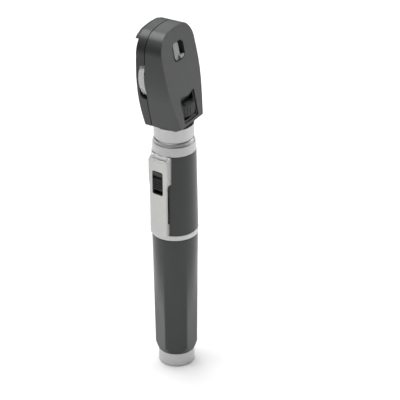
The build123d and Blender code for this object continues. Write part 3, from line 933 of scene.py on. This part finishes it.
def seam_lip(shell, start, depth):
    """A narrower lip at the joint between the two shells, which leaves a fine dark line."""
    combine(shell, plate("seam_lip", head_outline(0.7), "xz", start, depth), "UNION")


def window_block(name, half_wide, half_tall, corner, front, back):
    """A block with rounded corners, square to the sloping front, between two depths."""
    outline = rounded(
        [
            (-half_wide, -half_tall, corner),
            (half_wide, -half_tall, corner),
            (half_wide, half_tall, corner),
            (-half_wide, half_tall, corner),
        ],
        arc_step=10,
    )
    block = plate(name, outline, "xz", front, back - front)
    take(block)
    place = Vector((0, face_y(window_z), window_z)) * mm
    lean = Matrix.Rotation(-math.atan(face_lean), 4, "X")
    block.matrix_world = Matrix.Translation(place) @ lean
    bpy.ops.object.transform_apply(location=True, rotation=True, scale=True)
    return block


def make_front_shell():
    shell = plate("front_shell_moulding", head_outline(), "xz", -16, seam_y + 16 - 0.4)
    lean_cut(shell, 0)
    chin_cut(shell, 0)
    edit(shell, "EDGE")

    def on_front(p):
        chin = p.z < head_low + 2.4 and p.y < face_y(head_low) + 4.4
        return abs(p.y - face_y(p.z)) < 0.01 or (chin and p.z > head_low + 0.01)

    pick(lambda a, b: on_front(a) and on_front(b))
    bevel_picked(0.85, 4)
    bpy.ops.object.mode_set(mode="OBJECT")
    seam_lip(shell, seam_y - 2.0, 2.0)
    hollow = plate("head_hollow", head_outline(shell_wall, 9), "xz", -16, seam_y + 17)
    lean_cut(hollow, shell_wall)
    chin_cut(hollow, shell_wall)
    combine(shell, hollow)
    # the window's well, with a sloping sill, and the seat of its pane
    combine(shell, window_block("window_frame", 6.3, 6.2, 4.2, 0.9, 3.4), "UNION")
    well = window_block("window_well", 4.9, 4.8, 2.6, -2, 8)
    edit(well, "VERT")
    pick(lambda p: p.z < window_z + 1.0 and p.y > face_y(p.z) + 4)
    bpy.ops.transform.translate(value=(0, 0, 2.0 * mm))
    bpy.ops.object.mode_set(mode="OBJECT")
    combine(shell, well)
    combine(shell, window_block("window_rebate", 5.35, 5.25, 3.0, 2.0, 8))
    # the dial's mouth: a hood behind it, the opening, a shallow rim round it, a shelf inside
    hood_top, hood_foot = head_low + 18.7, dial_high + 0.2
    hood = [
        (face_y(hood_top) + 0.8, hood_top),
        (face_y(hood_top) + 2.4, hood_top),
        (face_y(hood_foot) + 2.8, hood_foot + 3.0),
        (face_y(hood_foot) + 2.8, hood_foot),
        (face_y(hood_foot) + 0.8, hood_foot),
    ]
    combine(shell, plate("mouth_hood", hood, "yz", -6.6, 13.2), "UNION")
    combine(shell, front_mouth("dial_mouth", 5.3))
    rim = window_block("mouth_rim", 6.4, 6.6, 0.6, -2, 0.55)
    take(rim)
    rim_z = head_low + 10.1
    rim.location = Vector((0, face_y(rim_z) - face_y(window_z), rim_z - window_z)) * mm
    bpy.ops.object.transform_apply(location=True, rotation=True, scale=True)
    combine(shell, rim)
    shelf = plate("dial_shelf", head_outline(1.3, 12), "xz", -16, 16 + dial_y + 1.6)
    lean_cut(shelf, 0.8)
    slice_off(shelf, (0, 0, 134.2), (0, 0, -1))
    slice_off(shelf, (0, 0, 135.4), (0, 0, 1))
    combine(shell, shelf, "UNION")
    neck_hole = turned(
        "neck_hole",
        [(0, 125, 0), (6.12, 125, 0), (6.12, 134.05, 0), (0, 134.05, 0)],
        steps=64,
        closed=False,
    )
    combine(shell, neck_hole)
    soften(shell, 0.14, 2, 40)
    finished(shell, "head", shell_plastic, "front_shell", slot="shell_grey", angle=35)


def make_window_panes():
    """The front pane is a black plate, painted shade for the shadowed well behind the window, round a
    narrow pale pane and a pale sill that are painted light.
    """
    # black plate: painted shade in place of the dark, shadowed inside of the window
    shade_plate = window_block("window_painted_shade", 5.3, 5.2, 3.0, 1.85, 2.6)
    soften(shade_plate, 0.08, 2, 40)
    finished(shade_plate, "head", black_plastic, "front_window", slot="clear_glass", angle=35)
    # pale pane: painted reflection of the bright mirror inside the window
    light = window_block("window_painted_reflection", 2.3, 4.6, 2.0, 1.2, 2.0)
    soften(light, 0.15, 2, 40)
    finished(light, "head", painted_light_finish, slot="clear_glass", angle=35)
    # pale sill block: painted highlight where the well's bottom ledge is lit from above
    sill = window_block("window_sill", 1.9, 0.8, 0.5, 0.3, 2.0)
    take(sill)
    sill.location = Vector((2.9, -0.65, -3.2)) * mm
    bpy.ops.object.transform_apply(location=True, rotation=True, scale=True)
    soften(sill, 0.2, 2, 40)
    finished(sill, "head", painted_light_finish, slot="clear_glass", angle=35)


def make_rear_shell():
    shell = plate("rear_shell_moulding", head_outline(), "xz", seam_y, rear_y - seam_y)
    tuck_z, tuck_in = head_low + 14.8, 1.2
    bend = rounded(
        [
            (rear_y, tuck_z, 0),
            (rear_y, tuck_z - 7.46, 91.9),
            (rear_y - 2 * tuck_in, head_low - 7.34, 0),
            (rear_y + 5, head_low - 7.34, 0),
            (rear_y + 5, tuck_z, 0),
        ],
        arc_step=1.2,
    )
    combine(shell, plate("rear_tuck", bend, "yz", -20, 40))
    edit(shell, "EDGE")

    def at_rear(a, b):
        across = abs(a.x - b.x) > 12 and min(a.z, b.z) > head_low + 0.1
        return min(a.y, b.y) > seam_y + 0.5 and not across

    pick(at_rear)
    bevel_picked(0.8, 4)
    bpy.ops.object.mode_set(mode="OBJECT")
    back = wheel_back + 0.2
    hollow = plate(
        "rear_hollow", head_outline(shell_wall, 9), "xz", seam_y - 1, back - seam_y + 1
    )
    slice_off(hollow, (0, rear_y - 1.25, head_low + 9.0), (0, 1, -0.16))
    combine(shell, hollow)
    slot_low, slot_high = head_low + 15.6, head_low + 33.6
    slot_outline = rounded(
        [
            (seam_y - 1, slot_low, 0),
            (back, slot_low, 2.5),
            (back, slot_high, 2.5),
            (seam_y - 1, slot_high, 0),
        ],
        arc_step=12,
    )
    combine(shell, plate("wheel_slot", slot_outline, "yz", -20, 40))

    def bore(name, radius, x, z, front, back, sides=48):
        place = (x, (front + back) / 2, z)
        combine(shell, round_bar(name, radius, back - front, place, sides))

    bore("wheel_space", wheel_radius + 0.4, 0, wheel_z, seam_y - 1, back, 128)
    bore("sight_hole", 1.9, 0, sight_z, seam_y, rear_y + 2)
    bore("sight_seat", 2.6, 0, sight_z, rear_y - 0.7, rear_y + 2)
    scale_z = wheel_z - 7.8
    scale_cuts = (("scale_hole", 1.5, 1.1, 5), ("scale_seat", 1.9, 1.5, 0.5))
    for name, half_wide, half_tall, depth in scale_cuts:
        deselect()
        bpy.ops.mesh.primitive_cube_add(
            size=mm,
            location=(0, rear_y * mm, scale_z * mm),
            scale=(2 * half_wide, 2 * depth, 2 * half_tall),
        )
        combine(shell, seen(name))
    for x, z in ((-7.0, head_low + 3.6), (7.0, head_low + 3.6), (0, head_low + 46.2)):
        bore("screw_seat", 1.8, x, z, rear_y - 0.9, rear_y + 2, 40)
    soften(shell, 0.14, 2, 40)
    finished(shell, "head", rear_plastic_painted_shade, "rear_shell", slot="shell_grey", angle=35)


def make_brow_rest():
    rest_low = low_high("brow_rest", 2)[0]
    front, back = low_high("brow_rest", 1)
    rest = plate("brow_pad", head_outline(0.45), "xz", front, back - front)
    wing_low = head_low + 45.4
    tongue_outline = rounded(
        [
            (-9.0, rest_low, 6.0),
            (9.0, rest_low, 6.0),
            (9.0, wing_low, 1.5),
            (20.0, wing_low, 0),
            (20.0, 185.0, 0),
            (-20.0, 185.0, 0),
            (-20.0, wing_low, 0),
            (-9.0, wing_low, 1.5),
        ]
    )
    combine(rest, plate("rest_shape", tongue_outline, "xz", front - 1, 6), "INTERSECT")
    combine(rest, round_bar("rest_hole", 4.6, 10, (0, back, sight_z), 64))
    edit(rest, "VERT")
    pick(lambda p: abs(p.x) > 10 and p.z < wing_low + 1.6)
    bpy.ops.transform.resize(
        value=(1.06, 1, 1), center_override=(0, 0, 0), use_proportional_edit=False
    )
    bpy.ops.mesh.select_mode(type="EDGE")
    bpy.ops.mesh.select_all(action="DESELECT")
    pick(lambda a, b: a.y > back - 0.01 and b.y > back - 0.01)
    bevel_picked(0.75, 4)
    bpy.ops.object.mode_set(mode="OBJECT")
    finished(rest, "head", rubber, "brow_rest", slot="rest_rubber", angle=40)


def make_lens_wheel():
    ridges, lenses, lens_radius, axle_radius = 90, 16, 1.7, 1.55
    middle_y = (wheel_front + wheel_back) / 2
    wheel = round_bar(
        "lens_wheel_disc",
        wheel_radius - 0.14,
        wheel_back - wheel_front,
        (0, middle_y, wheel_z),
        ridges * 2,
    )
    edit(wheel)

    def every_other(middle, normal):
        angle = math.degrees(math.atan2(normal.z, normal.x)) % 360
        return abs(normal.y) < 0.5 and round(angle / (180 / ridges) - 0.5) % 2 == 0

    pick(every_other)
    bpy.ops.mesh.extrude_faces_move(TRANSFORM_OT_shrink_fatten={"value": 0.13 * mm})
    bpy.ops.mesh.select_all(action="DESELECT")
    pick(
        lambda middle, normal: abs(normal.y) > 0.9
        and Vector((middle.x, middle.z - wheel_z)).length < 5
    )
    bpy.ops.mesh.inset(thickness=1.4 * mm)
    bpy.ops.mesh.extrude_region_shrink_fatten(TRANSFORM_OT_shrink_fatten={"value": -0.65 * mm})
    bpy.ops.mesh.select_all(action="SELECT")
    bpy.ops.mesh.normals_make_consistent(inside=False)
    bpy.ops.object.mode_set(mode="OBJECT")
    for place in range(lenses):
        angle = math.pi / 2 + 2 * math.pi * place / lenses
        seat = (
            lens_circle * math.cos(angle),
            middle_y,
            wheel_z + lens_circle * math.sin(angle),
        )
        combine(wheel, round_bar("lens_hole", lens_radius, 10, seat, 28))
    combine(wheel, round_bar("axle_hole", axle_radius, 10, (0, middle_y, wheel_z), 40))
    finished(wheel, "lens_wheel", wheel_plastic, "lens_wheel", slot="white_plastic", angle=30)


def make_dial():
    radius, ribs, rib_depth = 6.9, 28, 0.3
    openings, opening_radius, opening_circle = 5, 0.9, 5.25
    dial = round_bar(
        "aperture_dial_wheel",
        radius - rib_depth,
        dial_high - dial_low,
        (0, dial_y, (dial_low + dial_high) / 2),
        ribs * 4,
        upright=True,
    )
    edit(dial)

    def rib_faces(middle, normal):
        angle = math.degrees(math.atan2(normal.y, normal.x)) % 360
        return abs(normal.z) < 0.5 and math.floor(angle / (90 / ribs)) % 4 < 2

    pick(rib_faces)
    bpy.ops.mesh.extrude_region_shrink_fatten(TRANSFORM_OT_shrink_fatten={"value": rib_depth * mm})
    bpy.ops.mesh.select_all(action="DESELECT")
    for side, sink in ((1, 0.2), (-1, 4.9)):
        bpy.ops.mesh.select_all(action="DESELECT")
        pick(
            lambda middle, normal: side * normal.z > 0.9
            and Vector((middle.x, middle.y - dial_y)).length < 3
        )
        bpy.ops.mesh.inset(thickness=0.65 * mm)
        bpy.ops.mesh.extrude_region_shrink_fatten(TRANSFORM_OT_shrink_fatten={"value": -sink * mm})
    bpy.ops.mesh.select_all(action="SELECT")
    bpy.ops.mesh.normals_make_consistent(inside=False)
    bpy.ops.object.mode_set(mode="OBJECT")
    for place in range(openings):
        angle = 2 * math.pi * place / openings
        spot = (
            opening_circle * math.sin(angle),
            dial_y + opening_circle * math.cos(angle),
            dial_high,
        )
        combine(dial, round_bar("dial_opening", opening_radius, 2, spot, 24, upright=True))
    combine(dial, round_bar("dial_bore", 1.05, 20, (0, dial_y, dial_low), 32, upright=True))
    soften(dial, 0.1, 2, 40)
    finished(dial, "aperture_dial", shell_plastic, "aperture_dial", slot="shell_grey", angle=30)


# ---- floor, light and camera -----------------------------------------------------------------------


def make_stage():
    deselect()
    bpy.ops.mesh.primitive_plane_add(size=6.0, location=(0, 0, 0))
    floor = seen("floor")
    finish = Finish("pale_floor")
    fibre = finish.noise(40, 3.0, 0.5)
    finish.set(Base_Color=finish.blend(fibre, (0.9, 0.9, 0.9), (0.92, 0.92, 0.92)), Roughness=0.75)
    floor.data.materials.append(finish.material)


def make_light(name, size, place, aim, power):
    data = bpy.data.lights.new(name, "AREA")
    data.shape = "RECTANGLE"
    data.size, data.size_y = size
    data.energy = power
    lamp = bpy.data.objects.new(name, data)
    bpy.context.scene.collection.objects.link(lamp)
    lamp.location = place
    lamp.rotation_euler = (Vector(aim) - Vector(place)).to_track_quat("-Z", "Y").to_euler()


def make_world(near, far):
    """Soft light from all round, dimmer on the side where the camera stands."""
    world = bpy.data.worlds.new("studio")
    bpy.context.scene.world = world
    world.use_nodes = True
    nodes, links = world.node_tree.nodes, world.node_tree.links
    direction = nodes.new("ShaderNodeTexCoord")
    along = nodes.new("ShaderNodeVectorMath")
    along.operation = "DOT_PRODUCT"
    along.inputs[1].default_value = (-0.78, -0.47, 0.1)
    level = nodes.new("ShaderNodeMapRange")
    level.interpolation_type = "SMOOTHSTEP"
    level.inputs["From Min"].default_value = -0.6
    level.inputs["From Max"].default_value = 0.8
    level.inputs["To Min"].default_value = far
    level.inputs["To Max"].default_value = near
    links.new(direction.outputs["Generated"], along.inputs[0])
    links.new(along.outputs["Value"], level.inputs["Value"])
    links.new(level.outputs["Result"], nodes["Background"].inputs["Strength"])


def make_camera():
    azimuth = math.radians(-59.0)
    distance, height = 1.04, 0.648
    pitch, yaw, roll = math.radians(28.27), math.radians(0.67), math.radians(-0.42)
    ahead = Vector(
        (math.sin(yaw) * math.cos(pitch), math.cos(yaw) * math.cos(pitch), -math.sin(pitch))
    )
    right = Vector((math.cos(yaw), -math.sin(yaw), 0))
    up = right.cross(ahead)
    right, up = (
        right * math.cos(roll) + up * math.sin(roll),
        up * math.cos(roll) - right * math.sin(roll),
    )
    turn = Matrix.Rotation(azimuth, 3, "Z")
    right, up, ahead = turn @ right, turn @ up, turn @ ahead
    data = bpy.data.cameras.new("camera")
    data.lens = 220.8
    data.sensor_width = 36.0
    data.clip_start, data.clip_end = 0.01, 20
    camera = bpy.data.objects.new("camera", data)
    bpy.context.scene.collection.objects.link(camera)
    camera.matrix_world = Matrix(
        (
            (right.x, up.x, -ahead.x, distance * math.sin(azimuth)),
            (right.y, up.y, -ahead.y, -distance * math.cos(azimuth)),
            (right.z, up.z, -ahead.z, height),
            (0, 0, 0, 1),
        )
    )
    bpy.context.scene.camera = camera


bpy.context.scene.view_settings.view_transform = "Standard"
make_camera()
make_stage()
make_world(0.06, 0.4)
make_light("overhead", (1.5, 1.5), (0.0, 0.3, 1.6), (0, 0, 0.08), 41)
make_light("front_right", (0.9, 0.6), (0.95, -0.8, 0.55), (0, 0, 0.11), 6)
make_light("behind", (0.9, 0.5), (0.95, 0.57, 0.75), (0, 0, 0.15), 2.2)

make_end_cap()
make_grip()
make_ring()
make_sleeve()
make_clip()
make_slider()
make_collar()
make_neck()
make_front_shell()
make_window_panes()
make_rear_shell()
make_brow_rest()
make_lens_wheel()
make_dial()
